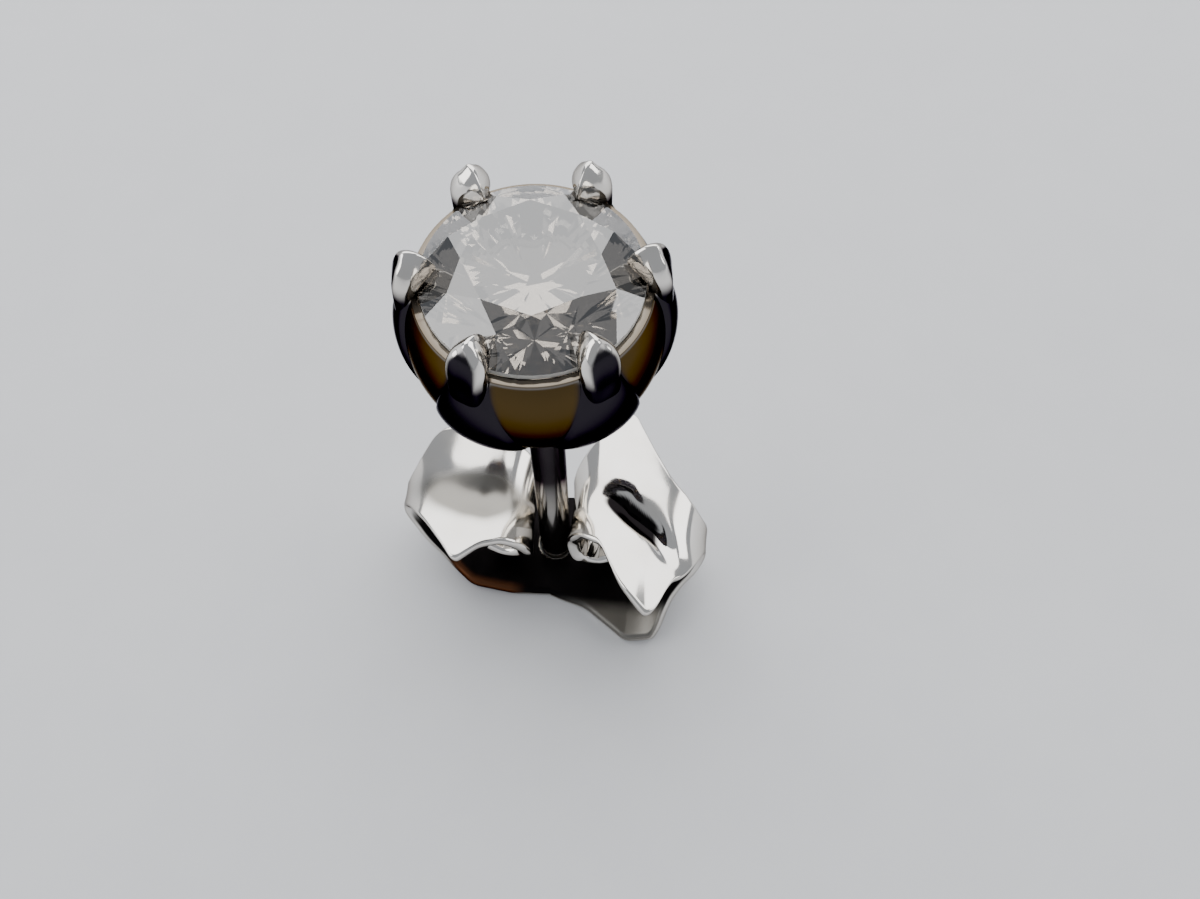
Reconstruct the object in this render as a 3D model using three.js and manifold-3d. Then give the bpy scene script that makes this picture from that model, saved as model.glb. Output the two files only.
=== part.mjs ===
// Stud earring: a round brilliant in a six-claw tulip cup on a plain post, standing on its butterfly clutch.
// Millimetres, +Z up, the underside of the clutch on z = 0 and the post's axis on the Z axis.
import * as THREE from 'three';
import Module from 'manifold-3d';

const wasm = await Module();
wasm.setup();

// ---- driving dimensions ----
const STONE_D = 3.3;          // girdle diameter; every other size of the head is a share of it
const GIRDLE_Z = 10.4;        // height of the girdle's middle above the surface
const FIT = 0.04;             // gap left between the stone and its seat, and the post and its clutch
const CLAWS = 6;

const CUT = { table: 0.60, crown: 0.15, girdle: 0.03, pavilion: 0.43, star: 0.5, lower: 0.2, facets: 8 };

const POST_R = 0.33;
const POST_END_Z = 0.12;      // the post stops just short of the clutch's underside

// Cup, as shares of the stone's diameter: z below the girdle, outer radius between the ribs,
// how far a rib stands out, and the rib's half angle in degrees.
const CUP = [
  { z: -0.850, r: 0.150, rib: 0.000, half: 27 },
  { z: -0.812, r: 0.270, rib: 0.008, half: 27 },
  { z: -0.740, r: 0.390, rib: 0.020, half: 26.5 },
  { z: -0.650, r: 0.485, rib: 0.030, half: 25.5 },
  { z: -0.540, r: 0.558, rib: 0.040, half: 23.5 },
  { z: -0.430, r: 0.596, rib: 0.044, half: 20.5 },
  { z: -0.320, r: 0.608, rib: 0.046, half: 17 },
  { z: -0.210, r: 0.600, rib: 0.045, half: 13.5 },
  { z: -0.110, r: 0.575, rib: 0.042, half: 10.5 },
  { z: -0.025, r: 0.538, rib: 0.040, half: 9 },
];
const CUP_WALL = 0.08;        // wall, as a share of the stone's diameter
const CUP_SIDES = 6;          // mesh columns from a rib's crest to the middle of the next panel

// Claw: centre line (out from the axis, height above the girdle), half thickness, half width,
// all as shares of the stone's diameter, and the lean of the section in degrees.
const CLAW = [
  { out: 0.580, z: -0.300, thick: 0.045, wide: 0.080, lean: 0 },
  { out: 0.575, z: -0.120, thick: 0.056, wide: 0.086, lean: 2 },
  { out: 0.562, z: -0.010, thick: 0.072, wide: 0.092, lean: 8 },
  { out: 0.546, z: 0.060, thick: 0.086, wide: 0.094, lean: 20 },
  { out: 0.522, z: 0.110, thick: 0.096, wide: 0.080, lean: 34 },
  { out: 0.492, z: 0.134, thick: 0.098, wide: 0.058, lean: 48 },
  { out: 0.462, z: 0.140, thick: 0.084, wide: 0.036, lean: 60 },
  { out: 0.434, z: 0.126, thick: 0.054, wide: 0.018, lean: 72 },
  { out: 0.412, z: 0.100, thick: 0.020, wide: 0.006, lean: 82 },
];
const CLAW_POINTS = 12;
const CLAW_ROUND = 0.9;       // power of the section at the foot, under 1 for a full oval
const CLAW_RIDGE = 1.4;       // and at the tip, over 1 for a ridge

const COLLAR = { r: 0.55, h: 0.30 };
const ROUND = 28;             // sides of the post

// Clutch strip, from the middle of its plate to a scroll's free end. The path runs at mid thickness in the
// plane across the post, x outwards and z up, with one station to a row.
const SHEET = 0.28;
const PATH = [
  { x: 0.00, z: 0.14 }, { x: 0.80, z: 0.14 }, { x: 1.70, z: 0.14 }, { x: 2.40, z: 0.34 },
  { x: 2.96, z: 0.88 }, { x: 3.08, z: 1.55 }, { x: 2.62, z: 2.20 }, { x: 1.85, z: 2.52 },
  { x: 1.28, z: 2.54 }, { x: 0.78, z: 2.34 }, { x: 0.50, z: 1.82 }, { x: 0.60, z: 1.28 },
  { x: 0.98, z: 1.02 }, { x: 1.36, z: 1.16 },
];

// The two wings are stamped and bent unlike each other. A row gives a station, the y of the wing's front
// and back edge there, and the y and the depth of the valley pressed between the wing's two lobes.
const RIGHT_WING = [
  { at: 0.00, front: -1.15, back: 1.15, vein: 0.00, press: 0.00 },
  { at: 1.00, front: -1.38, back: 1.22, vein: 0.00, press: 0.00 },
  { at: 2.00, front: -2.02, back: 1.55, vein: 0.00, press: 0.00 },
  { at: 2.90, front: -1.95, back: 0.88, vein: 0.00, press: 0.00 },
  { at: 3.60, front: -1.30, back: 0.50, vein: 0.00, press: 0.00 },
  { at: 4.40, front: -1.06, back: 0.26, vein: 0.00, press: 0.00 },
  { at: 5.40, front: -1.10, back: 0.26, vein: -0.90, press: 0.00 },
  { at: 6.22, front: -0.92, back: 0.68, vein: -0.80, press: 0.10 },
  { at: 6.36, front: -1.52, back: 0.76, vein: -0.68, press: 0.13 },
  { at: 6.62, front: -2.32, back: 1.05, vein: -0.42, press: 0.18 },
  { at: 7.60, front: -1.66, back: 2.15, vein: -0.02, press: 0.22 },
  { at: 8.35, front: -0.86, back: 1.78, vein: 0.18, press: 0.10 },
  { at: 9.20, front: -0.64, back: 1.30, vein: 0.20, press: 0.00 },
  { at: 10.00, front: -0.60, back: 0.95, vein: 0.20, press: 0.00 },
  { at: 11.00, front: -0.75, back: 0.75, vein: 0.00, press: 0.00 },
  { at: 13.00, front: -0.60, back: 0.60, vein: 0.00, press: 0.00 },
];
const LEFT_WING = [
  { at: 0.00, front: -1.15, back: 1.15, vein: 0.00, press: 0.00 },
  { at: 1.00, front: -1.20, back: 1.19, vein: 0.00, press: 0.00 },
  { at: 2.00, front: -1.12, back: 1.37, vein: 0.00, press: 0.00 },
  { at: 3.00, front: -0.76, back: 1.12, vein: 0.00, press: 0.00 },
  { at: 4.00, front: -0.38, back: 0.80, vein: 0.00, press: 0.00 },
  { at: 5.00, front: -0.15, back: 0.58, vein: 0.30, press: 0.00 },
  { at: 5.50, front: -0.20, back: 0.78, vein: 0.30, press: 0.02 },
  { at: 6.20, front: -0.66, back: 1.48, vein: 0.25, press: 0.08 },
  { at: 7.10, front: -1.57, back: 1.58, vein: 0.05, press: 0.14 },
  { at: 7.90, front: -1.18, back: 1.42, vein: 0.05, press: 0.12 },
  { at: 8.60, front: -1.02, back: 1.25, vein: 0.10, press: 0.06 },
  { at: 10.00, front: -0.95, back: 0.95, vein: 0.10, press: 0.00 },
  { at: 11.00, front: -0.75, back: 0.75, vein: 0.00, press: 0.00 },
  { at: 13.00, front: -0.60, back: 0.60, vein: 0.00, press: 0.00 },
];
const VALLEY = { right: 0.32, left: 0.50 };   // half width of the pressed valley
const STRIP_ACROSS = 12;      // mesh columns across the strip
const DISH = 0.10;            // how far a wing's edges stand proud of its middle, per mm of half width
const CLUTCH_TURN = -8;       // degrees about the post

// ---- helpers ----
const rad = (deg) => (deg * Math.PI) / 180;

// Closed solid from a list of rings of equal length, with a fan over the first and the last ring.
function skin(rings) {
  const n = rings[0].length;
  const points = rings.flat();
  const faces = [];
  for (let i = 0; i + 1 < rings.length; i++) {
    for (let j = 0; j < n; j++) {
      const a = i * n + j, b = i * n + ((j + 1) % n);
      faces.push(a, b, b + n, a, b + n, a + n);
    }
  }
  for (const [ring, first] of [[rings[0], true], [rings[rings.length - 1], false]]) {
    const base = first ? 0 : (rings.length - 1) * n;
    const mid = ring.reduce((s, p) => [s[0] + p[0] / n, s[1] + p[1] / n, s[2] + p[2] / n], [0, 0, 0]);
    const hub = points.push(mid) - 1;
    for (let j = 0; j < n; j++) {
      const a = base + j, b = base + ((j + 1) % n);
      faces.push(...(first ? [hub, b, a] : [hub, a, b]));
    }
  }
  return solid(points, faces);
}

// Manifold solid from points and triangles, turned right side out.
function solid(points, faces) {
  const make = (tris) => new wasm.Manifold(new wasm.Mesh({
    numProp: 3, vertProperties: new Float32Array(points.flat()), triVerts: new Uint32Array(tris),
  }));
  const body = make(faces);
  if (body.volume() > 0) return body;
  const turned = [];
  for (let i = 0; i < faces.length; i += 3) turned.push(faces[i], faces[i + 2], faces[i + 1]);
  return make(turned);
}

// Catmull-Rom reading of one column of a table at a row number s, which may lie between two rows.
function column(table, key, s) {
  const i = Math.min(Math.max(Math.floor(s), 0), table.length - 2), f = s - i;
  const at = (k) => table[Math.min(Math.max(k, 0), table.length - 1)][key];
  const [a, b, c, d] = [at(i - 1), at(i), at(i + 1), at(i + 2)];
  const bend = (2 * a - 5 * b + 4 * c - d) * f ** 2, swing = (3 * b - a - 3 * c + d) * f ** 3;
  return 0.5 * (2 * b + (c - a) * f + bend + swing);
}

// Straight-line reading of one column of a wing's table at a station.
function level(wing, key, at) {
  const i = Math.max(wing.findIndex((row) => row.at >= at), 1), a = wing[i - 1], b = wing[i];
  return a[key] + ((b[key] - a[key]) * (at - a.at)) / (b.at - a.at);
}

const circle = (r, z, n) => Array.from({ length: n }, (_, j) => {
  const a = (j / n) * 2 * Math.PI;
  return [r * Math.cos(a), r * Math.sin(a), z];
});

// ---- stone ----
// Round brilliant about the origin, the middle of its girdle on z = 0.
function brilliant() {
  const R = STONE_D / 2, half = (CUT.girdle * STONE_D) / 2;
  const crown = CUT.crown * STONE_D, deep = CUT.pavilion * STONE_D, rt = CUT.table * R;
  const step = (2 * Math.PI) / CUT.facets, cos = Math.cos(step / 2);
  const rs = rt * cos + CUT.star * (R - rt * cos), rp = CUT.lower * R;
  const zs = half + (crown * (R - rs * cos)) / (R - rt);
  const zp = -half - deep + (deep * rp * cos) / R;
  const points = [], faces = [];
  const add = (r, a, z) => points.push([r * Math.cos(a), r * Math.sin(a), z]) - 1;
  const table = [], star = [], low = [], top = [], bottom = [];
  for (let k = 0; k < CUT.facets; k++) {
    table.push(add(rt, k * step, half + crown));
    star.push(add(rs, (k + 0.5) * step, zs));
    low.push(add(rp, (k + 0.5) * step, zp));
  }
  // The girdle is round: three columns for each upper facet, dropped or raised onto that facet's plane.
  const arch = [0, 0.045, 0.045];
  for (let k = 0; k < CUT.facets * 6; k++) {
    const bow = arch[k % 3] * half;
    top.push(add(R, (k * step) / 6, half - bow));
    bottom.push(add(R, (k * step) / 6, -half + bow));
  }
  const culet = add(0, 0, -half - deep);
  const n = CUT.facets, g = n * 6;
  for (let k = 0; k < n; k++) {
    const next = (k + 1) % n, prev = (k + n - 1) % n, at = 6 * k;
    if (k > 0 && k + 1 < n) faces.push(table[0], table[k], table[k + 1]);
    faces.push(table[k], star[k], table[next]);
    faces.push(table[k], top[at], star[k], table[k], star[prev], top[at]);
    faces.push(low[k], bottom[at], culet, culet, bottom[at], low[prev]);
    for (let j = 0; j < 6; j++) {
      const a = at + j, b = (at + j + 1) % g;
      faces.push(star[k], top[a], top[b], top[a], bottom[a], bottom[b], top[a], bottom[b], top[b]);
      faces.push(low[k], bottom[b], bottom[a]);
    }
  }
  return solid(points, faces);
}

// ---- setting ----
// Ring of the cup: columns crowd round the ribs so that mesh lines run along the ribs' edges.
function cupRing(z, r, rib, half) {
  const ring = [], sector = 180 / CLAWS, steps = CUP_SIDES;
  for (let c = 0; c < CLAWS; c++) {
    for (let j = -steps; j < steps; j++) {
      const u = (2 * Math.abs(j)) / steps;
      const turn = u <= 1 ? u * half : half + (u - 1) * (sector - half);
      const proud = u < 1 ? rib * Math.sqrt(1 - u * u) : 0;
      const a = rad(2 * sector * c + Math.sign(j) * turn);
      ring.push([(r + proud) * Math.cos(a), (r + proud) * Math.sin(a), z]);
    }
  }
  return ring;
}

function cup() {
  const D = STONE_D, rows = CUP.length * 2 - 1, rings = [];
  const read = (row) => ['z', 'r', 'rib', 'half'].map((key) => column(CUP, key, row));
  for (let i = 0; i < rows; i++) {
    const [z, r, rib, half] = read(i / 2);
    rings.push(cupRing(GIRDLE_Z + z * D, r * D, rib * D, half));
  }
  for (let i = rows - 1; i > 4; i -= 2) {
    const [z, r, , half] = read(i / 2);
    const lift = i < rows - 4 ? CUP_WALL * 0.55 * (1 - i / rows) : 0;
    rings.push(cupRing(GIRDLE_Z + (z + lift) * D, (r - CUP_WALL) * D, 0, half));
  }
  return skin(rings);
}

// Claw: superellipse sections along its centre line. The power grows towards the tip, so the rounded wire
// at the foot becomes a ridged leaf that comes to a point.
function claw(angle) {
  const D = STONE_D, a0 = rad(angle), rings = [];
  for (let i = 0; i < CLAW.length * 2 - 1; i++) {
    const power = CLAW_ROUND + ((CLAW_RIDGE - CLAW_ROUND) * i) / (CLAW.length * 2 - 2);
    const [out, z, thick, wide, lean] = ['out', 'z', 'thick', 'wide', 'lean']
      .map((key) => column(CLAW, key, i / 2));
    const tilt = rad(lean), ring = [];
    for (let j = 0; j < CLAW_POINTS; j++) {
      const q = (j / CLAW_POINTS) * 2 * Math.PI, c = Math.cos(q), s = Math.sin(q);
      const p = thick * Math.sign(c) * Math.abs(c) ** power, w = wide * Math.sign(s) * Math.abs(s) ** power;
      const rho = (out + p * Math.cos(tilt)) * D, h = GIRDLE_Z + (z + p * Math.sin(tilt)) * D;
      ring.push([rho * Math.cos(a0) - w * D * Math.sin(a0), rho * Math.sin(a0) + w * D * Math.cos(a0), h]);
    }
    rings.push(ring);
  }
  return skin(rings);
}

// Collar and post: rings round the Z axis from inside the cup's floor to the rounded end.
function post() {
  const base = GIRDLE_Z + CUP[0].z * STONE_D, e = 0.12;
  const profile = [
    [0.30, base + 0.25], [COLLAR.r, base + 0.18], [COLLAR.r, base - COLLAR.h * 0.35],
    [COLLAR.r * 0.86, base - COLLAR.h * 0.7], [POST_R, base - COLLAR.h],
    [POST_R, POST_END_Z + e], [POST_R - e * 0.3, POST_END_Z + e * 0.3], [POST_R - e, POST_END_Z],
  ];
  return skin(profile.map(([r, z]) => circle(r, z, ROUND)));
}

function setting() {
  const seat = brilliant().scale(1 + (2 * FIT) / STONE_D * 1.5).translate([0, 0, GIRDLE_Z]);
  let body = cup().add(post());
  for (let c = 0; c < CLAWS; c++) body = body.add(claw((360 / CLAWS) * c));
  return body.subtract(seat);
}

// ---- clutch ----
// Section of the strip at a station: a bent slat whose edges curl up and whose valley is pressed down.
function slat(at, wing, side) {
  const point = (s) => [column(PATH, 'x', s), Math.max(column(PATH, 'z', s), SHEET / 2)];
  const [x, z] = point(at), [x0, z0] = point(at - 0.01), [x1, z1] = point(at + 0.01);
  const len = Math.hypot(x1 - x0, z1 - z0), out = [(z1 - z0) / len, (x0 - x1) / len];
  const [front, back, vein, press] = ['front', 'back', 'vein', 'press'].map((key) => level(wing, key, at));
  const half = (back - front) / 2, dish = DISH * Math.min(Math.max((at - 4) / 2, 0), 1) * half, ring = [];
  for (const face of [1, -1]) {
    for (let j = 0; j <= STRIP_ACROSS; j++) {
      const v = face * (1 - (2 * j) / STRIP_ACROSS), y = front + (1 + v) * half;
      const valley = press * Math.exp(-(((y - vein) / VALLEY[side]) ** 2));
      const lift = (face * SHEET) / 2 + dish * (v * v - 0.5) - valley;
      ring.push([(side === 'left' ? -1 : 1) * (x + out[0] * lift), y, z + out[1] * lift]);
    }
  }
  return ring;
}

// Sections at every corner of the wing's outline and at the thirds of each station that lie clear of one.
function slats(wing, side) {
  const corners = wing.map((row) => row.at);
  const thirds = Array.from({ length: 3 * (PATH.length - 1) }, (_, i) => i / 3);
  const clear = thirds.filter((s) => corners.every((corner) => Math.abs(corner - s) > 0.12));
  return [...corners, ...clear].sort((a, b) => a - b).map((at) => slat(at, wing, side));
}

function clutch() {
  const rings = [...slats(LEFT_WING, 'left').reverse(), ...slats(RIGHT_WING, 'right').slice(1)];
  const r = POST_R + FIT, hole = wasm.Manifold.cylinder(6, r, r, ROUND).translate([0, 0, -1]);
  return skin(rings).subtract(hole).rotate([0, 0, CLUTCH_TURN]);
}

// ---- nodes ----
const WHITE_METAL = { color: 0xd9d9d6, metalness: 1, roughness: 0.12 };
const CLEAR = { color: 0xf4f6f8, metalness: 0, roughness: 0.02, transparent: true, opacity: 0.45 };

function node(name, body, look) {
  const { vertProperties, triVerts } = body.getMesh();
  const geometry = new THREE.BufferGeometry();
  geometry.setAttribute('position', new THREE.BufferAttribute(new Float32Array(vertProperties), 3));
  geometry.setIndex(new THREE.BufferAttribute(new Uint32Array(triVerts), 1));
  geometry.computeVertexNormals();
  const mesh = new THREE.Mesh(geometry, new THREE.MeshStandardMaterial(look));
  mesh.name = name;
  return mesh;
}

const part = new THREE.Group();
part.name = 'stud_earring';
part.add(node('stone', brilliant().translate([0, 0, GIRDLE_Z]), CLEAR));
part.add(node('setting', setting(), WHITE_METAL));
part.add(node('clutch', clutch(), WHITE_METAL));
for (const mesh of part.children) {
  console.log(mesh.name, mesh.geometry.index.count / 3, 'triangles');
}
export default part;
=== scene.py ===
# %% [markdown]
# # A stud earring, lesson by lesson
# The earring is a clear round brilliant held by six claws over a tulip-shaped cup. The cup is soldered to a
# straight post, and the post stands in a butterfly clutch, a strip of sheet bent into two scrolls.
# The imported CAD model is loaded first. It fixes every size and place, and each piece below is a finer
# surface that stands in the same spot.

# %% Load the frame
import math

import bpy
import numpy as np
from mathutils import Matrix


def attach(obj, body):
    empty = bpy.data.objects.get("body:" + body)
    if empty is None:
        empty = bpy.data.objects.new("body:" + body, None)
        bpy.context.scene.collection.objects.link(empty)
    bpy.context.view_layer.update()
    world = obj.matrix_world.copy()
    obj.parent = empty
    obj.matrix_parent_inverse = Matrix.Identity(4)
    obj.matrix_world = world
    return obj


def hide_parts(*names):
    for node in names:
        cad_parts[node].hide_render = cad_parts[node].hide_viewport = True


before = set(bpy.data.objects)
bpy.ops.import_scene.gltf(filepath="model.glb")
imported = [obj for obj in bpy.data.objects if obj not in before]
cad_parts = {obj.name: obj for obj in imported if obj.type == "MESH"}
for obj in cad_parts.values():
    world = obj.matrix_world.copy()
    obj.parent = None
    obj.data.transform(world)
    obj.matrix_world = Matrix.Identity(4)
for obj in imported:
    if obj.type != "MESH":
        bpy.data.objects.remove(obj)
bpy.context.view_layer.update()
MM = 0.001

# %% [markdown]
# ## Camera
# The earring is about a centimetre tall, so the camera stands less than three centimetres away. That
# nearness makes the stone look large and the clutch small. A longer lens from further off would fill the
# same frame, but it would flatten that difference. The camera's turn is written as three rows: its right,
# its up and its back, each a direction in the room.

# %% Camera
CAMERA_AT = (0.0006384, -0.0098578, 0.0245079)
CAMERA_ROWS = (
    (0.99941, -0.034344, -0.000404),
    (0.030885, 0.893488, 0.448023),
    (-0.015026, -0.447771, 0.894022),
)
LENS_MM = 35.4

camera_data = bpy.data.cameras.new("camera")
camera_data.lens = LENS_MM
camera_data.sensor_width = 36.0
camera_data.clip_start = 0.0005
camera_data.clip_end = 10.0
camera = bpy.data.objects.new("camera", camera_data)
bpy.context.scene.collection.objects.link(camera)
placed = np.eye(4)
placed[:3, :3] = np.array(CAMERA_ROWS, float).T
placed[:3, 3] = CAMERA_AT
camera.matrix_world = Matrix(placed.tolist())
bpy.context.scene.camera = camera
print("camera stands", round(float(np.linalg.norm(CAMERA_AT)) / MM, 1), "mm from the post's foot")

# %% [markdown]
# ## Helpers
# Every piece is a sheet of points in rows and columns. Columns close into a loop, rows run from one end to
# the other, and the two ends are closed with a fan. One function turns such a grid into a mesh.

# %% Grid to mesh
def grid_faces(rows, cols):
    """Quads of a grid whose columns close into a loop: corner (i, j), (i, j+1), (i+1, j+1), (i+1, j)."""
    i, j = np.meshgrid(np.arange(rows - 1), np.arange(cols), indexing="ij")
    a, b = i * cols + j, i * cols + (j + 1) % cols
    return np.stack([a, b, b + cols, a + cols], -1).reshape(-1, 4)


def closed_skin(points):
    """Vertices and faces of a (rows, cols, 3) grid, with a fan from the mean of the first and last row."""
    rows, cols = points.shape[:2]
    verts = np.concatenate([points.reshape(-1, 3), points[0].mean(0)[None], points[-1].mean(0)[None]])
    quads = grid_faces(rows, cols)
    j = np.arange(cols)
    k = (j + 1) % cols
    start = np.stack([k, j, np.full(cols, rows * cols)], -1)
    last = (rows - 1) * cols
    end = np.stack([last + j, last + k, np.full(cols, rows * cols + 1)], -1)
    return verts, [quads, np.concatenate([start, end])]


def with_hubs(values):
    """One value per grid point, plus the mean of the first and the last row for the two fans' middles."""
    return np.concatenate([values.ravel(), [values[0].mean(), values[-1].mean()]])


def ramp(x, low, high):
    """Smooth step: with t = (x - low) / (high - low) held to 0..1 it is t * t * (3 - 2 t)."""
    t = np.clip((x - low) / (high - low), 0, 1)
    return t * t * (3 - 2 * t)


def signed_volume(verts, faces):
    """Sum over triangles of a . (b x c) / 6; it is positive when the faces point outwards."""
    total = 0.0
    for block in faces:
        for k in range(1, block.shape[1] - 1):
            a, b, c = verts[block[:, 0]], verts[block[:, k]], verts[block[:, k + 1]]
            total += float(np.einsum("ij,ij->i", a, np.cross(b, c)).sum()) / 6
    return total


def make_object(name, shells, smooth_deg=None, masks=()):
    """One mesh from several closed shells, in metres, with faces out; masks are (name, value per vertex)."""
    all_verts, loops, sizes, offset = [], [], [], 0
    for verts, faces in shells:
        if signed_volume(verts, faces) < 0:
            faces = [block[:, ::-1] for block in faces]
        all_verts.append(verts)
        for block in faces:
            loops.append((block + offset).ravel())
            sizes.append(np.full(len(block), block.shape[1]))
        offset += len(verts)
    verts, loops, sizes = np.concatenate(all_verts), np.concatenate(loops), np.concatenate(sizes)
    mesh = bpy.data.meshes.new(name)
    mesh.vertices.add(len(verts))
    mesh.vertices.foreach_set("co", (verts * MM).astype(np.float32).ravel())
    mesh.loops.add(len(loops))
    mesh.loops.foreach_set("vertex_index", loops.astype(np.int32))
    mesh.polygons.add(len(sizes))
    mesh.polygons.foreach_set("loop_start", np.concatenate([[0], np.cumsum(sizes)[:-1]]).astype(np.int32))
    mesh.update(calc_edges=True)
    mesh.validate()
    mesh.polygons.foreach_set("use_smooth", np.full(len(mesh.polygons), smooth_deg is not None))
    if smooth_deg is not None:
        mesh.set_sharp_from_angle(angle=math.radians(smooth_deg))
    for mask_name, values in masks:
        layer = mesh.attributes.new(mask_name, "FLOAT", "POINT")
        layer.data.foreach_set("value", np.clip(values, 0, 1).astype(np.float32))
    obj = bpy.data.objects.new(name, mesh)
    bpy.context.scene.collection.objects.link(obj)
    print(f"{name}: {len(mesh.vertices)} vertices, {sum(sizes - 2)} triangles")
    return obj


# %% [markdown]
# A table of a few named rows drives each shape. Reading between the rows with a Catmull-Rom curve gives a
# smooth line that still passes through every row, so the piece keeps the sizes in the table.

# %% Reading a table
def column(table, key, t):
    """One column at the fractions t of the table's length, with a, b, c, d the rows around each place.

    Half of 2 b + (c - a) f + (2 a - 5 b + 4 c - d) f^2 + (3 b - a - 3 c + d) f^3, f the way from b to c.
    """
    values = np.array([row[key] for row in table], float)
    s = np.clip(np.asarray(t, float), 0, 1) * (len(values) - 1)
    i = np.minimum(s.astype(int), len(values) - 2)
    f = s - i
    padded = np.concatenate([values[:1], values, values[-1:]])
    a, b, c, d = padded[i], padded[i + 1], padded[i + 2], padded[i + 3]
    bend = 2 * a - 5 * b + 4 * c - d
    swing = 3 * b - a - 3 * c + d
    return 0.5 * (2 * b + (c - a) * f + bend * f**2 + swing * f**3)


# %% [markdown]
# ## The stone
# A round brilliant has a flat table, eight kites and eight stars round it, sixteen upper facets down to the
# girdle, and below it sixteen lower facets and eight mains that meet in the culet. Each facet is a plane,
# so the stone is shaded flat: it is the flatness and the crisp edges that break light into sparks.

# %% Stone
STONE_D = 3.3
GIRDLE_Z = 10.4
CUT = dict(table=0.60, crown=0.15, girdle=0.03, pavilion=0.43, star=0.5, lower=0.2)
STEP = math.pi / 4
GIRDLE_POINTS = 48
SCALLOP = 0.045     # how far the girdle's edge bows between two facet corners, in half heights


def ring(radius, angles, z):
    """Points at one radius and height: (radius cos a, radius sin a, z)."""
    return np.stack([radius * np.cos(angles), radius * np.sin(angles), np.full(len(angles), z)], -1)


def brilliant():
    """Corner rings of the cut. Star tips and lower tips lie on the kites' and the mains' planes."""
    R, half = STONE_D / 2, CUT["girdle"] * STONE_D / 2
    crown, deep, rt = CUT["crown"] * STONE_D, CUT["pavilion"] * STONE_D, CUT["table"] * R
    cos = math.cos(STEP / 2)
    rs = rt * cos + CUT["star"] * (R - rt * cos)
    rp = CUT["lower"] * R
    eight = np.arange(8) * STEP
    table = ring(rt, eight, half + crown)
    star = ring(rs, eight + STEP / 2, half + crown * (R - rs * cos) / (R - rt))
    low = ring(rp, eight + STEP / 2, -half - deep + deep * rp * cos / R)
    round_ = np.arange(GIRDLE_POINTS) * STEP / 6
    bow = np.tile([0, SCALLOP, SCALLOP], GIRDLE_POINTS // 3) * half
    top, bottom = ring(R, round_, 0), ring(R, round_, 0)
    top[:, 2], bottom[:, 2] = half - bow, -half + bow
    return table, star, top, bottom, low, np.array([[0, 0, -half - deep]])


table_ring, star_ring, top_ring, bottom_ring, low_ring, culet = brilliant()
stone_verts = np.concatenate([table_ring, star_ring, top_ring, bottom_ring, low_ring, culet])
T0, S0, U0, B0, L0, C0 = 0, 8, 16, 64, 112, 120
k = np.arange(8)
n, p = (k + 1) % 8, (k + 7) % 8
kites = np.stack([T0 + k, S0 + p, U0 + 6 * k, S0 + k], -1)
mains = np.stack([C0 + 0 * k, L0 + k, B0 + 6 * k, L0 + p], -1)
stars = np.stack([T0 + k, S0 + k, T0 + n], -1)
a = np.arange(GIRDLE_POINTS)
b = (a + 1) % GIRDLE_POINTS
upper = np.stack([S0 + a // 6, U0 + a, U0 + b], -1)
lower = np.stack([L0 + a // 6, B0 + b, B0 + a], -1)
girdle = np.stack([U0 + a, B0 + a, B0 + b, U0 + b], -1)
table_face = np.arange(8)[None]
stone_verts[:, 2] += GIRDLE_Z
stone_faces = [table_face, kites, mains, stars, upper, lower, girdle]
stone = make_object("stone_brilliant", [(stone_verts, stone_faces)])
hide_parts("stone")
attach(stone, "stud")
facets = len(stone.data.polygons) - GIRDLE_POINTS
stone.data.polygons.foreach_set("material_index", np.repeat([0, 1], [facets, GIRDLE_POINTS]))

# %% [markdown]
# A setter bends and files each claw until it bears on the stone. The same is done here in numbers: the
# stone's planes are known, so any point of metal that would lie inside it is pushed out through the nearest
# plane, plus a hair of clearance.

# %% Facet planes and the push
def facet_planes():
    """Outward unit normal and offset of every facet: for corners p, q, r it is (q - p) x (r - p)."""
    V = stone_verts - [0, 0, GIRDLE_Z]
    tris = np.concatenate([table_face[:, :3], kites[:, :3], mains[:, :3], stars, upper[::3], lower[::3],
                           girdle[:, :3]])
    normal = np.cross(V[tris[:, 1]] - V[tris[:, 0]], V[tris[:, 2]] - V[tris[:, 0]])
    normal /= np.linalg.norm(normal, axis=1, keepdims=True)
    offset = np.einsum("ij,ij->i", normal, V[tris[:, 0]])
    return normal * np.sign(offset)[:, None], np.abs(offset)


PLANE_N, PLANE_D = facet_planes()


def bear_on_stone(points, clearance=0.03):
    """Moves each point with depth below every plane out along the plane that it is least deep under."""
    q = points.reshape(-1, 3) - [0, 0, GIRDLE_Z]
    depth = PLANE_D + clearance - q @ PLANE_N.T
    nearest = depth.argmin(1)
    least = np.maximum(depth[np.arange(len(q)), nearest], 0)
    return points + (PLANE_N[nearest] * least[:, None]).reshape(points.shape)


print("planes:", len(PLANE_D), "shallowest", round(float(PLANE_D.min()), 3), "mm from the middle")
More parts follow.
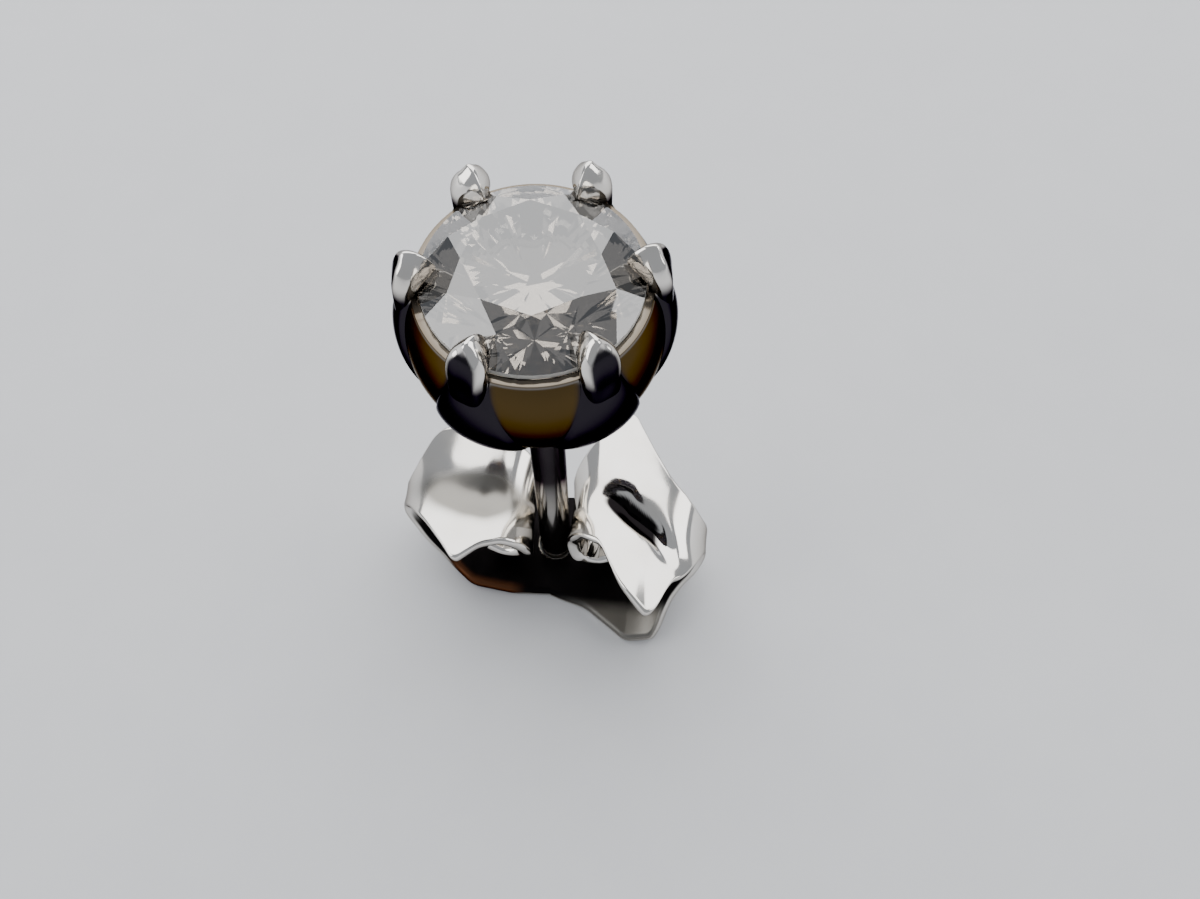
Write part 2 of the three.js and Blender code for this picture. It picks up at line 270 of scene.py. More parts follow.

# %% [markdown]
# ## The cup
# The cup is a bowl of sheet metal raised into a tulip. Six ribs run up it, one under each claw, broad at the
# foot and narrow at the rim, with smooth panels between them. It could be a lathe shape with grooves cut in,
# but a grid of angle and height is simpler: the columns crowd along the ribs' edges, so the edges stay crisp
# where they lean and spread. The rim comes up to the stone's girdle and all but touches it, as a setter
# leaves it, so no dark slit shows between metal and stone.
#
# Two masks go with the cup, and both paint light into its colour. The whole outside of the cup is painted
# near black from just under the girdle down to the foot: painted shade. Over that, the panels between the
# ribs are
# painted brown, and the rim a little: a painted reflection. The mask values are fixed to the metal, so they
# stay in place in every view.

# %% Cup
CLAWS = 6
CUP_WALL, CUP_FLOOR = 0.08, 0.33    # the wall, and how far down the table the inside goes
RIM_THIN, RIM_FROM = 0.52, 0.88     # share of the wall filed off at the rim, and where that starts
FLOOR_LIFT, FLOOR_BELOW = 0.55, 0.8 # how much the inside rises towards the foot, in walls, and from where
RIM_GAP = 0.01                      # mm between the rim and the stone
CUP_STEPS = 24                      # columns on each side of a rib's middle
CUP = [
    dict(z=-0.850, r=0.150, rib=0.000, half=27.0),
    dict(z=-0.812, r=0.270, rib=0.008, half=27.0),
    dict(z=-0.740, r=0.390, rib=0.020, half=26.5),
    dict(z=-0.650, r=0.485, rib=0.030, half=25.5),
    dict(z=-0.540, r=0.558, rib=0.040, half=23.5),
    dict(z=-0.430, r=0.596, rib=0.044, half=20.5),
    dict(z=-0.320, r=0.608, rib=0.046, half=17.0),
    dict(z=-0.210, r=0.600, rib=0.045, half=13.5),
    dict(z=-0.110, r=0.575, rib=0.042, half=10.5),
    dict(z=-0.018, r=0.536, rib=0.040, half=9.0),
]


def cup_rows(t, steps, wall=0.0, lift=0.0, ribbed=True):
    """Rings at the fractions t: radius r + rib * sqrt(1 - u * u), u across a rib, less the wall."""
    z, r, rib, half = (column(CUP, key, t)[:, None] for key in ("z", "r", "rib", "half"))
    j = np.tile(np.arange(-steps, steps), CLAWS)[None]
    u = 2 * np.abs(j) / steps
    turn = np.where(u <= 1, u * half, half + (u - 1) * (180 / CLAWS - half))
    angle = np.radians(np.repeat(np.arange(CLAWS) * 360 / CLAWS, 2 * steps)[None] + np.sign(j) * turn)
    proud = np.where(u < 1, rib * np.sqrt(np.clip(1 - u * u, 0, 1)), 0) * ribbed
    thinned = wall * (1 - RIM_THIN * ramp(t[:, None], RIM_FROM, 1.0))
    radius = (r - thinned + proud) * STONE_D
    height = GIRDLE_Z + (z + lift) * STONE_D + 0 * angle
    points = np.stack([radius * np.cos(angle), radius * np.sin(angle), height], -1)
    return points, np.clip(u - 1, 0, 1) + 0 * angle


up = np.linspace(0, 1, 96)
down = np.linspace(1, CUP_FLOOR, 40)
outer, panel = cup_rows(up, CUP_STEPS)
floor_rise = (CUP_WALL * FLOOR_LIFT * (1 - down) * (down < FLOOR_BELOW))[:, None]
inner, _ = cup_rows(down, CUP_STEPS, CUP_WALL, floor_rise, ribbed=False)
cup_points = bear_on_stone(np.concatenate([outer, inner]), clearance=RIM_GAP)
rim_r = float(np.hypot(*outer[-1, 0, :2]))
print("cup grid:", cup_points.shape[:2], "rim", round(rim_r, 2), "mm from the axis")

# %% Cup masks
PANEL_EDGE = (0.0, 0.12)        # from a rib's edge into the panel, in panel halves
PANEL_TOP = (0.026, 0.036)      # depth under the girdle, in stone widths, where the panels' painted reflection starts
RIB_TOP = (-0.01, 0.05)         # the same for the painted shade on the ribs and the whole outside
LIP_OUT, LIP_IN = 0.985, 0.97   # fractions of the table above which the rim itself lies
LIP_WARM = 0.8
inner_zero = 0 * inner[..., 0]
below = (GIRDLE_Z - cup_points[..., 2]) / STONE_D
outside = np.concatenate([panel, inner_zero])
lip = np.concatenate([(up > LIP_OUT)[:, None] + 0 * panel, (down > LIP_IN)[:, None] + inner_zero])
# Painted reflection: the panels are painted brown from just under the girdle, and the rim gets 0.8 of it.
cup_painted_reflection = np.maximum(ramp(outside, *PANEL_EDGE) * ramp(below, *PANEL_TOP), LIP_WARM * lip)
# Painted shade: the outside of the cup is painted near black from just under the girdle down to the foot.
cup_painted_shade = ramp(below, *RIB_TOP) * np.concatenate([1 + 0 * panel, inner_zero])
print("cup masks in the mean: dark", round(cup_painted_shade.mean(), 2), "wear_and_painted_reflection", round(cup_painted_reflection.mean(), 2))

# %% [markdown]
# ## The claws
# Each claw is one round wire that was filed to a point and folded over the girdle. It is a stack of oval
# sections along a line that climbs the rib, leans in over the stone and ends in the point. The line, the
# oval's two half sizes and its lean are the table's columns. A plain sweep of a circle would leave a blunt
# stub. Here the oval's corners are drawn out by a power of its sine and cosine that grows along the claw, so
# the round foot turns into a ridge towards the point.
#
# A cutter has run up the front of each claw and left a shallow groove with a raised edge round it. The groove
# is painted dark inside the bright edge, and so is the claw's foot under the girdle: painted shade.

# %% Claws
CLAW = [
    dict(out=0.580, z=-0.300, thick=0.045, wide=0.080, lean=0),
    dict(out=0.575, z=-0.120, thick=0.056, wide=0.086, lean=2),
    dict(out=0.562, z=-0.010, thick=0.072, wide=0.092, lean=8),
    dict(out=0.546, z=0.060, thick=0.086, wide=0.094, lean=20),
    dict(out=0.522, z=0.110, thick=0.096, wide=0.080, lean=34),
    dict(out=0.492, z=0.134, thick=0.098, wide=0.058, lean=48),
    dict(out=0.462, z=0.140, thick=0.084, wide=0.036, lean=60),
    dict(out=0.434, z=0.126, thick=0.054, wide=0.018, lean=72),
    dict(out=0.412, z=0.100, thick=0.020, wide=0.006, lean=82),
]
CLAW_ROUND, CLAW_RIDGE = 0.9, 1.4       # the power at the claw's foot and at its point
GROOVE_DEPTH, GROOVE_HALF = 0.30, 0.78  # in half thicknesses and half widths of the claw
GROOVE_START, GROOVE_END = (0.04, 0.22), (0.52, 0.70)
ARCH_FROM, ARCH_CLOSE = 0.42, 0.9       # where the groove's painted shade starts to narrow to an arch, and how much
FACE_EDGE = (0.60, 0.84)
CLAW_FOOT_SHADE = (-0.08, 0.04)               # depth under the girdle, in stone widths, where the painted shade on the claw's foot starts


def claw_points(turn_deg, rows=96, cols=64):
    """Ovals of |cos| and |sin| to a growing power; in front they lose depth * (1 - (side / half)^2)."""
    t = np.linspace(0, 1, rows)[:, None]
    out, z, thick, wide, lean = (column(CLAW, key, t) for key in ("out", "z", "thick", "wide", "lean"))
    q = np.linspace(0, 2 * np.pi, cols, endpoint=False)[None]
    power = CLAW_ROUND + (CLAW_RIDGE - CLAW_ROUND) * t
    side = np.sign(np.sin(q)) * np.abs(np.sin(q)) ** power
    deep = np.sign(np.cos(q)) * np.abs(np.cos(q)) ** power
    groove = ramp(t, *GROOVE_START) * (1 - ramp(t, *GROOVE_END)) * (deep > 0)
    deep = deep * thick * (1 - GROOVE_DEPTH * groove * np.clip(1 - (side / GROOVE_HALF) ** 2, 0, 1))
    arch = np.abs(side) + ARCH_CLOSE * ramp(t, ARCH_FROM, GROOVE_END[1])
    # Painted shade: dark inside the groove, closing to an arch towards the point.
    shade = groove * (1 - ramp(arch, *FACE_EDGE))
    lean, turn = np.radians(lean), math.radians(turn_deg)
    rho, height = (out + deep * np.cos(lean)) * STONE_D, GIRDLE_Z + (z + deep * np.sin(lean)) * STONE_D
    side = side * wide * STONE_D
    points = np.stack([rho * math.cos(turn) - side * math.sin(turn),
                       rho * math.sin(turn) + side * math.cos(turn), height + 0 * q], -1)
    return points, shade


claws = [claw_points(60 * c) for c in range(CLAWS)]
groove_painted_shade = claws[0][1]
claws = [bear_on_stone(points) for points, _ in claws]
# Painted shade: the groove and the claw's foot below the girdle are painted dark.
claw_painted_shade = np.maximum(groove_painted_shade, ramp((GIRDLE_Z - claws[0][..., 2]) / STONE_D, *CLAW_FOOT_SHADE))
print("claw tip", round(float(claws[0][..., 2].max() - GIRDLE_Z), 2), "mm above the girdle")

# %% [markdown]
# ## Collar and post
# Under the cup a small collar holds the solder, and the post runs down from it. Both are one profile turned
# round the axis. The solder leaves a hollow fillet, so the profile bends in along quarter circles. The upper
# half of the post, up into the collar, is painted dark as painted shade under the head, fading out towards
# the clutch.

# %% Collar and post
POST_R, POST_END_Z, FIT = 0.33, 0.12, 0.04
COLLAR = dict(r=0.55, h=0.30, edge=0.06, fillet=0.13, into_cup=0.25, shoulder=0.18)
POST_END_ROUND = 0.12
SETTING_SHARP = 42                      # degrees above which an edge is shown sharp
POST_SHADE, POST_SHADE_FADE = 0.92, (2.8, 4.2)      # the post's painted shade, and the heights in mm between which it fades


def fillet(r, z, size, start, end, count=9):
    """Arc points about (r, z): (r + size cos a, z + size sin a) with a from start to end degrees."""
    angles = np.radians(np.linspace(start, end, count))
    return np.stack([r + size * np.cos(angles), z + size * np.sin(angles)], -1)


collar_z = GIRDLE_Z + CUP[0]["z"] * STONE_D
edge, hollow_r = COLLAR["edge"], COLLAR["fillet"]
foot_z = collar_z - COLLAR["h"]
profile = np.concatenate([
    [[0.30, collar_z + COLLAR["into_cup"]], [COLLAR["r"], collar_z + COLLAR["shoulder"]]],
    fillet(COLLAR["r"] - edge, collar_z - edge, edge, 0, -80),
    fillet(POST_R + hollow_r, foot_z + 0.04, hollow_r, 110, 180),
    np.stack([np.full(12, POST_R), np.linspace(foot_z, POST_END_Z + POST_END_ROUND + 0.01, 12)], -1),
    fillet(POST_R - POST_END_ROUND, POST_END_Z + POST_END_ROUND, POST_END_ROUND, 0, -90),
])
around = np.linspace(0, 2 * np.pi, 96, endpoint=False)
post_points = np.stack([profile[:, :1] * np.cos(around), profile[:, :1] * np.sin(around),
                        profile[:, 1:] + 0 * around], -1)
shells = [closed_skin(cup_points)] + [closed_skin(c) for c in claws] + [closed_skin(post_points)]
post_bare = 0 * post_points[..., 0]
# Painted shade: the post is painted dark under the head and fades out further down.
post_painted_shade = POST_SHADE * ramp(post_points[..., 2], *POST_SHADE_FADE)
masks = [
    ("wear_and_painted_reflection", np.concatenate([with_hubs(m) for m in [cup_painted_reflection] + [0 * claw_painted_shade] * CLAWS + [post_bare]])),
    ("painted_shade", np.concatenate([with_hubs(m) for m in [cup_painted_shade] + [claw_painted_shade] * CLAWS + [post_painted_shade]])),
]
setting = make_object("setting_cup_claws_post", shells, smooth_deg=SETTING_SHARP, masks=masks)
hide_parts("setting")
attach(setting, "stud")

# %% [markdown]
# ## The clutch
# A butterfly clutch starts as a flat strip with a hole in the middle and a wing at each end. The wings are
# bent up, over and back down until their ends pinch the post. The piece is a rounded section carried along
# that path. Each wing is stamped to its own outline, with two lobes and a valley pressed between them, so a
# second table gives the front and back edge and the valley at stations along the path. Lines between the
# rows give corners as the stamp cuts them, and the mean over a short span rounds each as tumbling does. A
# curve through the rows would swing out at every corner.
#
# The columns: "at" is the station, counted in points of the path, "front" and "back" are the edges in mm,
# "vein" is the middle of the valley and "press" is its depth.

# %% Clutch tables
SHEET, SHEET_EDGE = 0.28, 0.09      # thickness, and the radius of its tumbled edges
DISH, DISH_FROM = 0.10, 4           # how hollow the wings are across, per half width, and from which station
TANGENT = 0.01                      # stations either side of a point between which its direction is taken
CORNER = 0.16                       # half the span over which a corner is rounded, in stations
CLUTCH_TURN = -8                    # degrees about the post
PATH = [dict(x=x, z=z) for x, z in (
    (0.00, 0.14), (0.80, 0.14), (1.70, 0.14), (2.40, 0.34), (2.96, 0.88), (3.08, 1.55), (2.62, 2.20),
    (1.85, 2.52), (1.28, 2.54), (0.78, 2.34), (0.50, 1.82), (0.60, 1.28), (0.98, 1.02), (1.36, 1.16))]
WINGS = dict(
    right=[
        dict(at=0.00, front=-1.15, back=1.15, vein=0.00, press=0.00),
        dict(at=1.00, front=-1.38, back=1.22, vein=0.00, press=0.00),
        dict(at=2.00, front=-2.02, back=1.55, vein=0.00, press=0.00),
        dict(at=2.90, front=-1.95, back=0.88, vein=0.00, press=0.00),
        dict(at=3.20, front=-1.15, back=0.70, vein=0.00, press=0.00),
        dict(at=3.60, front=-0.80, back=0.50, vein=0.00, press=0.00),
        dict(at=4.40, front=-0.50, back=0.26, vein=0.00, press=0.00),
        dict(at=5.00, front=-0.42, back=0.24, vein=-0.60, press=0.00),
        dict(at=5.40, front=-0.78, back=0.28, vein=-0.80, press=0.00),
        dict(at=5.90, front=-1.32, back=0.50, vein=-0.95, press=0.02),
        dict(at=6.22, front=-1.42, back=0.68, vein=-0.86, press=0.10),
        dict(at=6.36, front=-1.75, back=0.76, vein=-0.72, press=0.13),
        dict(at=6.62, front=-2.32, back=1.05, vein=-0.42, press=0.18),
        dict(at=7.60, front=-1.66, back=2.15, vein=-0.02, press=0.22),
        dict(at=8.35, front=-0.86, back=1.78, vein=0.18, press=0.10),
        dict(at=9.20, front=-0.64, back=1.30, vein=0.20, press=0.00),
        dict(at=10.0, front=-0.60, back=0.95, vein=0.20, press=0.00),
        dict(at=11.0, front=-0.75, back=0.75, vein=0.00, press=0.00),
        dict(at=13.0, front=-0.60, back=0.60, vein=0.00, press=0.00),
    ],
    left=[
        dict(at=0.00, front=-1.15, back=1.15, vein=0.00, press=0.00),
        dict(at=1.00, front=-1.20, back=1.19, vein=0.00, press=0.00),
        dict(at=2.00, front=-1.10, back=1.37, vein=0.00, press=0.00),
        dict(at=3.00, front=-0.55, back=1.12, vein=0.00, press=0.00),
        dict(at=4.00, front=-0.15, back=0.80, vein=0.00, press=0.00),
        dict(at=5.00, front=0.00, back=0.58, vein=0.30, press=0.00),
        dict(at=5.50, front=-0.20, back=0.78, vein=0.30, press=0.02),
        dict(at=6.20, front=-0.66, back=1.48, vein=0.10, press=0.06),
        dict(at=7.10, front=-1.57, back=1.58, vein=-0.02, press=0.15),
        dict(at=7.90, front=-1.18, back=1.42, vein=-0.05, press=0.18),
        dict(at=8.60, front=-1.02, back=1.25, vein=0.00, press=0.08),
        dict(at=10.0, front=-0.95, back=0.95, vein=0.10, press=0.00),
        dict(at=11.0, front=-0.75, back=0.75, vein=0.00, press=0.00),
        dict(at=13.0, front=-0.60, back=0.60, vein=0.00, press=0.00),
    ],
)
VALLEY = dict(right=0.32, left=0.42)


# %% Clutch strip
def slat_loop(half, face_points=80):
    """Slat with half ovals as edges: across runs over +-half, through over +-half a sheet."""
    flat = np.linspace(1, -1, face_points)[None] * (half - SHEET_EDGE)
    face = 0.5 * SHEET + 0 * flat
    bow = np.linspace(np.pi / 2, 3 * np.pi / 2, 9)[None, 1:-1]
    far_across = -(half - SHEET_EDGE) + SHEET_EDGE * np.cos(bow)
    far_through = 0.5 * SHEET * np.sin(bow) + 0 * half
    across = np.concatenate([flat, far_across, -flat, -far_across], 1)
    through = np.concatenate([face, far_through, -face, -far_through], 1)
    return across, through


def path_point(station):
    """Place (x, z) on the bent strip's middle line; z stays half a sheet or more above the floor."""
    along = station / (len(PATH) - 1)
    return column(PATH, "x", along), np.maximum(column(PATH, "z", along), SHEET / 2)


def wing(side, rows=260):
    """Path point + normal * (through + dish * (v * v - 1/2) - press * exp(-((y - vein) / width)^2)).

    Returns the points, their stations, the face each is on, the valley's depth and the distance in from
    the front edge.
    """
    table = WINGS[side]
    at = np.linspace(0, len(PATH) - 1, rows)[:, None]
    near = at + CORNER * np.linspace(-1, 1, 9)
    stations = [row["at"] for row in table]
    front, back, vein, press = (
        np.interp(near, stations, [row[key] for row in table]).mean(1, keepdims=True)
        for key in ("front", "back", "vein", "press"))
    (x, z), (x0, z0), (x1, z1) = path_point(at), path_point(at - TANGENT), path_point(at + TANGENT)
    length = np.hypot(x1 - x0, z1 - z0)
    half, middle = (back - front) / 2, (back + front) / 2
    across, through = slat_loop(half)
    y = middle + across
    dish = DISH * np.clip((at - DISH_FROM) / 2, 0, 1) * half
    valley = press * np.exp(-((y - vein) / VALLEY[side]) ** 2)
    lift = through + dish * ((across / half) ** 2 - 0.5) - valley
    sign = -1 if side == "left" else 1
    points = np.stack([sign * (x + (z1 - z0) / length * lift), y, z + (x0 - x1) / length * lift], -1)
    return points, at + 0 * y, np.sign(through), valley, y - front


wings = zip(wing("left"), wing("right"))
strip, station, face, valley, inset = (np.concatenate([left[::-1], right[1:]]) for left, right in wings)
print("strip:", strip.shape[:2], "points, widest", round(float(np.ptp(strip[..., 1])), 2), "mm")

# %% [markdown]
# The clutch has masks too. The hollow between the plate and the wings, and the bottom of the valley in the
# right
# wing, are painted near black: painted shade. The plate's top and the pressed dish of the left wing are a
# little
# rougher and painted grey: painted shade on the plate, a painted reflection in the dish. The plate's left
# front edge is worn through to the alloy.

# %% Clutch masks
PLATE_END = (4.0, 5.0)              # stations over which the plate turns into the wing
HOLLOW_FRONT = (-1.55, -1.15)       # y in mm where the hollow's painted shade starts behind the plate's front lobe
LEAF_DEPTH = (0.08, 0.11)           # valley depths in mm between which the leaf's painted shade comes in
LEAF_START, LEAF_STOP = (6.42, 6.6), (8.6, 8.9)
DISH_DEPTH = (0.005, 0.06)
WORN_IN, WORN_SIDE, WORN_STOP = (0.06, 0.24), (0.5, 0.9), (2.4, 3.0)
inner_face = face < 0
right_side = strip[..., 0] > 0
plate = inner_face * (1 - ramp(station, *PLATE_END))
# Painted shade: the hollow behind the plate's front lobe.
hollow = plate * ramp(strip[..., 1], *HOLLOW_FRONT)
along_leaf = ramp(station, *LEAF_START) * (1 - ramp(station, *LEAF_STOP))
# Painted shade: the bottom of the right wing's valley.
leaf = ramp(valley, *LEAF_DEPTH) * along_leaf * right_side * ~inner_face
clutch_painted_shade = np.maximum(hollow, leaf)
# Painted grey, with more roughness: a painted reflection in the left wing's dish, painted shade on the
# plate's top.
satin_painted_shade_and_reflection = np.maximum(ramp(valley, *DISH_DEPTH) * ~right_side * ~inner_face, plate)
worn = (1 - ramp(inset, *WORN_IN)) * ramp(-strip[..., 0], *WORN_SIDE) * (1 - ramp(station, *WORN_STOP))

# %% Clutch object
CLUTCH_SHARP = 50                   # degrees above which an edge is shown sharp
turn = math.radians(CLUTCH_TURN)
spin = np.array([[math.cos(turn), -math.sin(turn), 0], [math.sin(turn), math.cos(turn), 0], [0, 0, 1]])
clutch_shade_reflection_and_wear = (("painted_shade", clutch_painted_shade), ("satin_painted_shade_and_reflection", satin_painted_shade_and_reflection), ("wear_and_painted_reflection", worn))
clutch = make_object("clutch_butterfly", [closed_skin(strip @ spin.T)], smooth_deg=CLUTCH_SHARP,
                     masks=[(key, with_hubs(values)) for key, values in clutch_shade_reflection_and_wear])

# %% [markdown]
# The post's hole is drilled last, as on the real strip. A boolean does it in one cut, and the result is
# written back into the mesh so that nothing live is left on the piece.

# %% Drill the clutch
drill_rings = np.stack([ring(POST_R + FIT, around, z) for z in (-1.0, 5.0)])
drill = make_object("drill", [closed_skin(drill_rings)])
cut = clutch.modifiers.new("hole", "BOOLEAN")
cut.operation, cut.solver, cut.object = "DIFFERENCE", "EXACT", drill
bpy.context.view_layer.update()
drilled = bpy.data.meshes.new_from_object(clutch.evaluated_get(bpy.context.evaluated_depsgraph_get()))
clutch.modifiers.clear()
clutch.data = drilled
drilled.polygons.foreach_set("use_smooth", np.ones(len(drilled.polygons), bool))
drilled.set_sharp_from_angle(angle=math.radians(CLUTCH_SHARP))
bpy.data.objects.remove(drill)
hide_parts("clutch")
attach(clutch, "clutch")
kept = np.zeros(len(drilled.vertices), np.float32)
drilled.attributes["painted_shade"].data.foreach_get("value", kept)
print("clutch after the cut:", len(drilled.polygons), "faces, dark mask in the mean", round(kept.mean(), 2))

# %% [markdown]
# ## Materials
# Small functions serve every finish. One turns a colour as a painter writes it into the linear light that
# the shader needs, one adds a node with its settings and its links, one mixes two colours, and one makes
# noise whose grain is given in millimetres. Colours are fixed to the piece, so they don't slide over it.

# %% Colour and node helpers
def linear(hex_colour):
    """sRGB hex to linear: below 0.04045 divide by 12.92, else ((c + 0.055) / 1.055) to the power 2.4."""
    c = np.array([int(hex_colour[i:i + 2], 16) for i in (0, 2, 4)]) / 255
    return tuple(np.where(c <= 0.04045, c / 12.92, ((c + 0.055) / 1.055) ** 2.4)) + (1.0,)


def add_node(tree, kind, links=(), inputs=(), **settings):
    """Adds a node, sets its properties and socket values, and links (its socket, another node's output)."""
    made = tree.nodes.new(kind)
    for key, value in settings.items():
        setattr(made, key, value)
    for key, value in dict(inputs).items():
        made.inputs[key].default_value = value
    for key, source in dict(links).items():
        tree.links.new(source, made.inputs[key])
    return made


def mix(tree, factor, first, second):
    """Colour (1 - factor) * first + factor * second, each an sRGB hex or another node's output."""
    node = add_node(tree, "ShaderNodeMix", {"Factor": factor}, data_type="RGBA")
    for socket, colour in ((6, first), (7, second)):
        if isinstance(colour, str):
            node.inputs[socket].default_value = linear(colour)
        else:
            tree.links.new(colour, node.inputs[socket])
    return node.outputs[2]


def object_place(tree):
    """Object coordinates, which stay with the piece when it moves."""
    return add_node(tree, "ShaderNodeTexCoord").outputs["Object"]


def noise(tree, place, size_mm, detail, **more):
    """Noise over the given coordinates, with features about size_mm across."""
    inputs = {"Scale": 1 / (size_mm * MM), "Detail": detail, **more}
    return add_node(tree, "ShaderNodeTexNoise", {"Vector": place}, inputs).outputs["Fac"]


def new_material(name):
    """A material with its node tree and its shader node."""
    material = bpy.data.materials.new(name)
    material.use_nodes = True
    return material, material.node_tree, material.node_tree.nodes["Principled BSDF"]


# %% [markdown]
# ### Polished white gold
# White gold is plated with rhodium and buffed on a soft wheel, so it is a mirror that shows the room. What
# makes it metal and not chrome paint is small: the buffing leaves hair-fine marks in one direction, the
# plating is a touch warmer where it is thin, and handling dulls it in patches of a millimetre or so.
#
# The skins lie on top of that. Most of them are painted shade and painted reflections: dark, grey or brown
# where the metal would be shaded or would mirror something dark. One on the clutch is real wear. Each is a
# mask of the piece with two colours, one seen head on and one seen at a glancing angle. Metal turns white at
# a glance, so on a pale table a clean edge would melt into the background. The greyer glancing colour goes
# into the shader's Specular Tint and keeps the outline. The first skin in the list is also the rough one:
# "satin" is what it adds to the roughness.

# %% Polished white gold
CLEAN_METAL, GLANCING = ("F1EFEC", "DCD6CC"), "9C9A98"
GLOSS = (0.07, 0.16)                # roughness where the buffing is fresh and where it is handled


def polished_metal(name, skins, satin, patch_mm=0.9, mark_mm=0.05):
    """Metal with skins (mask, colour, glancing colour); its roughness is mask * satin + gloss."""
    material, tree, shader = new_material(name)
    place = object_place(tree)
    patches = noise(tree, place, patch_mm, 3.0, Roughness=0.55)
    drawn = add_node(tree, "ShaderNodeMapping", {"Vector": place}, {"Scale": (1.0, 1.0, 0.12)})
    marks = noise(tree, drawn.outputs["Vector"], mark_mm, 2.0)
    colour, edge = mix(tree, patches, *CLEAN_METAL), GLANCING
    for mask_name, skin_hex, edge_hex in skins:
        mask = add_node(tree, "ShaderNodeAttribute", attribute_name=mask_name).outputs["Fac"]
        colour = mix(tree, mask, colour, skin_hex)
        edge = mix(tree, mask, edge, edge_hex)
    gloss = add_node(tree, "ShaderNodeMapRange", {"Value": patches},
                     {"From Min": 0.35, "From Max": 0.75, "To Min": GLOSS[0], "To Max": GLOSS[1]})
    bump = add_node(tree, "ShaderNodeBump", {"Height": marks}, {"Strength": 0.05, "Distance": 0.004 * MM})
    rough_mask = add_node(tree, "ShaderNodeAttribute", attribute_name=skins[0][0]).outputs["Fac"]
    rough = add_node(tree, "ShaderNodeMath", {0: rough_mask, 2: gloss.outputs["Result"]}, {1: satin},
                     operation="MULTIPLY_ADD")
    shader.inputs["Metallic"].default_value = 1.0
    tree.links.new(colour, shader.inputs["Base Color"])
    tree.links.new(edge, shader.inputs["Specular Tint"])
    tree.links.new(rough.outputs["Value"], shader.inputs["Roughness"])
    tree.links.new(bump.outputs["Normal"], shader.inputs["Normal"])
    return material


# Clutch: painted grey reflection and shade with more roughness, painted near-black shade, and a worn edge.
CLUTCH_PAINTED_LIGHT_AND_WEAR = [("satin_painted_shade_and_reflection", "84817B", "96938D"), ("painted_shade", "131112", "2C2A29"), ("wear_and_painted_reflection", "5E3C28", "5A4232")]
# Cup: painted near-black shade on the outside, and a painted brown reflection on the panels and rim.
SETTING_PAINTED_SHADE_AND_REFLECTION = [("painted_shade", "2D2A30", "66636C"), ("wear_and_painted_reflection", "4E3F26", "6A5A40")]
clutch_metal = polished_metal("rhodium_plated_white_gold_buffed", CLUTCH_PAINTED_LIGHT_AND_WEAR, satin=0.22)
setting_metal = polished_metal("rhodium_plated_white_gold_raised_cup", SETTING_PAINTED_SHADE_AND_REFLECTION, satin=0.06)
clutch.data.materials.clear()
clutch.data.materials.append(clutch_metal)
setting.data.materials.append(setting_metal)
print("materials:", clutch_metal.name, setting_metal.name)

# %% [markdown]
# ### Clear stone
# A colourless gem has almost no colour of its own. Its look is its refraction: light bends hard on the way
# in, bounces off the pavilion and leaves through the crown, so each facet shows a different scrap of the
# room. The polish is perfect, and faint feathers inside tint it by a hair. The grey base holds back the
# brightest flashes, which would otherwise burn out under a broad light.
#
# The girdle isn't polished. It was ground round against another stone, which leaves it frosted.

# %% Clear stone
GEM_IOR = 2.42


def gem(name, grain_mm, tints, roughness, transmission):
    """Clear material that bends light by GEM_IOR, with its tint varied by noise of a real grain size."""
    material, tree, shader = new_material(name)
    tint = mix(tree, noise(tree, object_place(tree), grain_mm, 2.0), *tints)
    tree.links.new(tint, shader.inputs["Base Color"])
    shader.inputs["Transmission Weight"].default_value = transmission
    shader.inputs["IOR"].default_value = GEM_IOR
    shader.inputs["Roughness"].default_value = roughness
    return material


stone.data.materials.append(gem("brilliant_cut_clear_gem_polished", 0.6, ("A39A8F", "989086"), 0.015, 1.0))
stone.data.materials.append(gem("bruted_girdle_of_the_gem", 0.04, ("F4F2EC", "DAD7CE"), 0.5, 0.35))
print("stone:", [material.name for material in stone.data.materials], "IOR", GEM_IOR)

# %% [markdown]
# ## Floor and light
# A pale matt board lies under the earring. One broad softbox hangs above and well behind, where metal that
# faces up mirrors it into the lens. From that angle the far half of the stone turns smooth and pale while
# the facets near the front claws stay dark. Hung nearer to overhead, it spreads a pale star over the
# stone's middle and lightens those facets too.
# Two small softboxes draw a line along the sides, and an even grey room keeps the shadows soft.

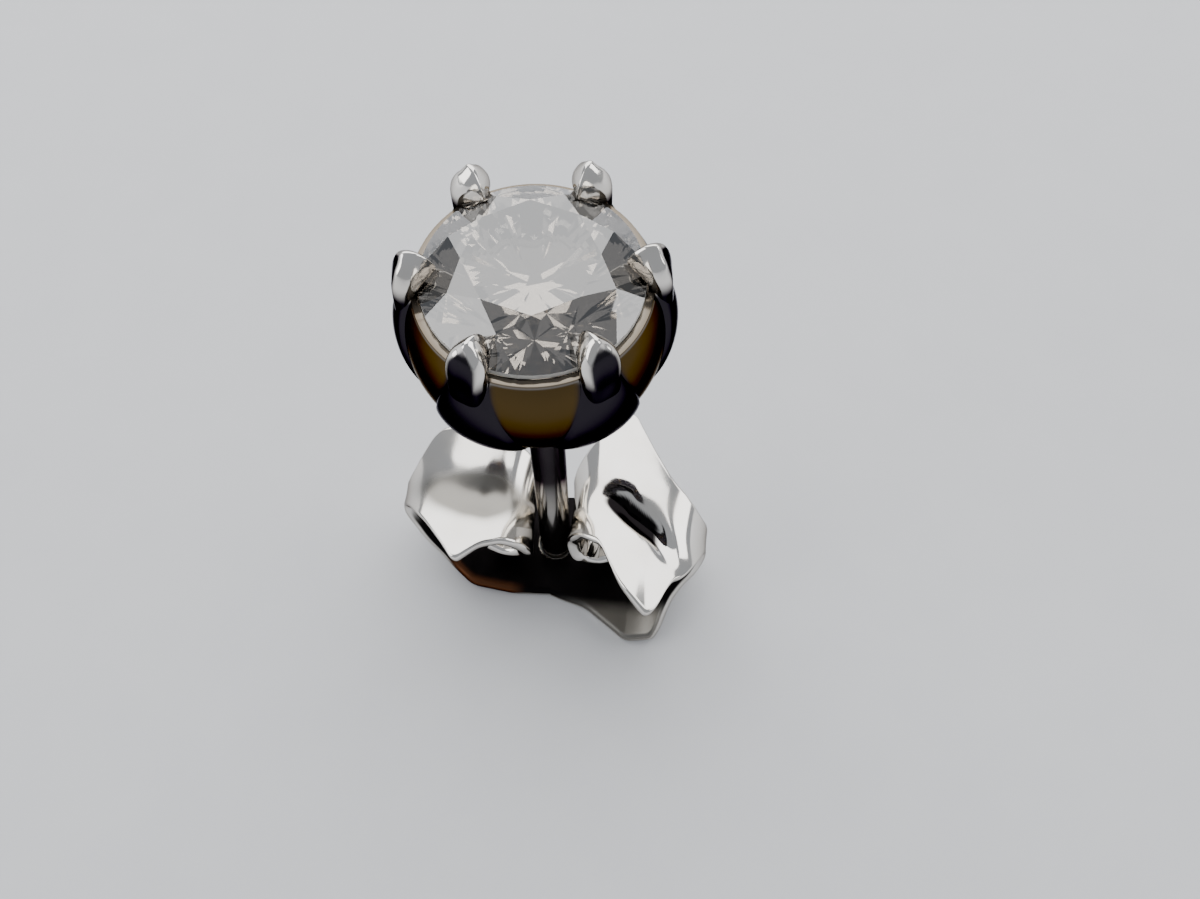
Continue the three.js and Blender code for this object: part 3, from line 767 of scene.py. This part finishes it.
# %% Floor
FLOOR_HALF, FLOOR_CELLS = 0.25, 8   # half width in metres, and squares along a side
floor_mesh = bpy.data.meshes.new("floor")
grid = np.linspace(-FLOOR_HALF, FLOOR_HALF, FLOOR_CELLS + 1)
gx, gy = np.meshgrid(grid, grid, indexing="ij")
floor_points = np.stack([gx, gy, 0 * gx], -1).reshape(-1, 3)
i, j = np.meshgrid(np.arange(FLOOR_CELLS), np.arange(FLOOR_CELLS), indexing="ij")
corner, row = i * (FLOOR_CELLS + 1) + j, FLOOR_CELLS + 1
squares = np.stack([corner, corner + row, corner + row + 1, corner + 1], -1).reshape(-1, 4)
floor_mesh.from_pydata(floor_points.tolist(), [], squares.tolist())
floor = bpy.data.objects.new("floor", floor_mesh)
bpy.context.scene.collection.objects.link(floor)
board, tree, shader = new_material("matt_card_board")
fibres = noise(tree, object_place(tree), 1.5, 4.0)
tree.links.new(mix(tree, fibres, "D0D1D3", "CACBCE"), shader.inputs["Base Color"])
shader.inputs["Roughness"].default_value = 0.6
floor_mesh.materials.append(board)


# %% Lights
def softbox(name, at_mm, size_mm, watts, aim_mm=(0, 0, 6)):
    """Square area light at a point, turned so that its -Z axis points from there to the aim."""
    data = bpy.data.lights.new(name, "AREA")
    data.shape, data.size, data.energy = "SQUARE", size_mm * MM, watts
    obj = bpy.data.objects.new(name, data)
    bpy.context.scene.collection.objects.link(obj)
    back = np.array(at_mm, float) - np.array(aim_mm, float)
    back /= np.linalg.norm(back)
    right = np.cross([0, 0, 1], back)
    right /= np.linalg.norm(right)
    turned = np.eye(4)
    turned[:3, :3] = np.stack([right, np.cross(back, right), back], 1)
    turned[:3, 3] = np.array(at_mm) * MM
    obj.matrix_world = Matrix(turned.tolist())


softbox("softbox_top", (0, 114, 100), 300, 0.78)
softbox("softbox_left", (-150, -20, 60), 110, 0.12)
softbox("softbox_right", (150, 10, 70), 90, 0.08)
world = bpy.data.worlds.new("grey_room")
world.use_nodes = True
world.node_tree.nodes["Background"].inputs["Color"].default_value = linear("8C8F94")
world.node_tree.nodes["Background"].inputs["Strength"].default_value = 1.45
bpy.context.scene.world = world
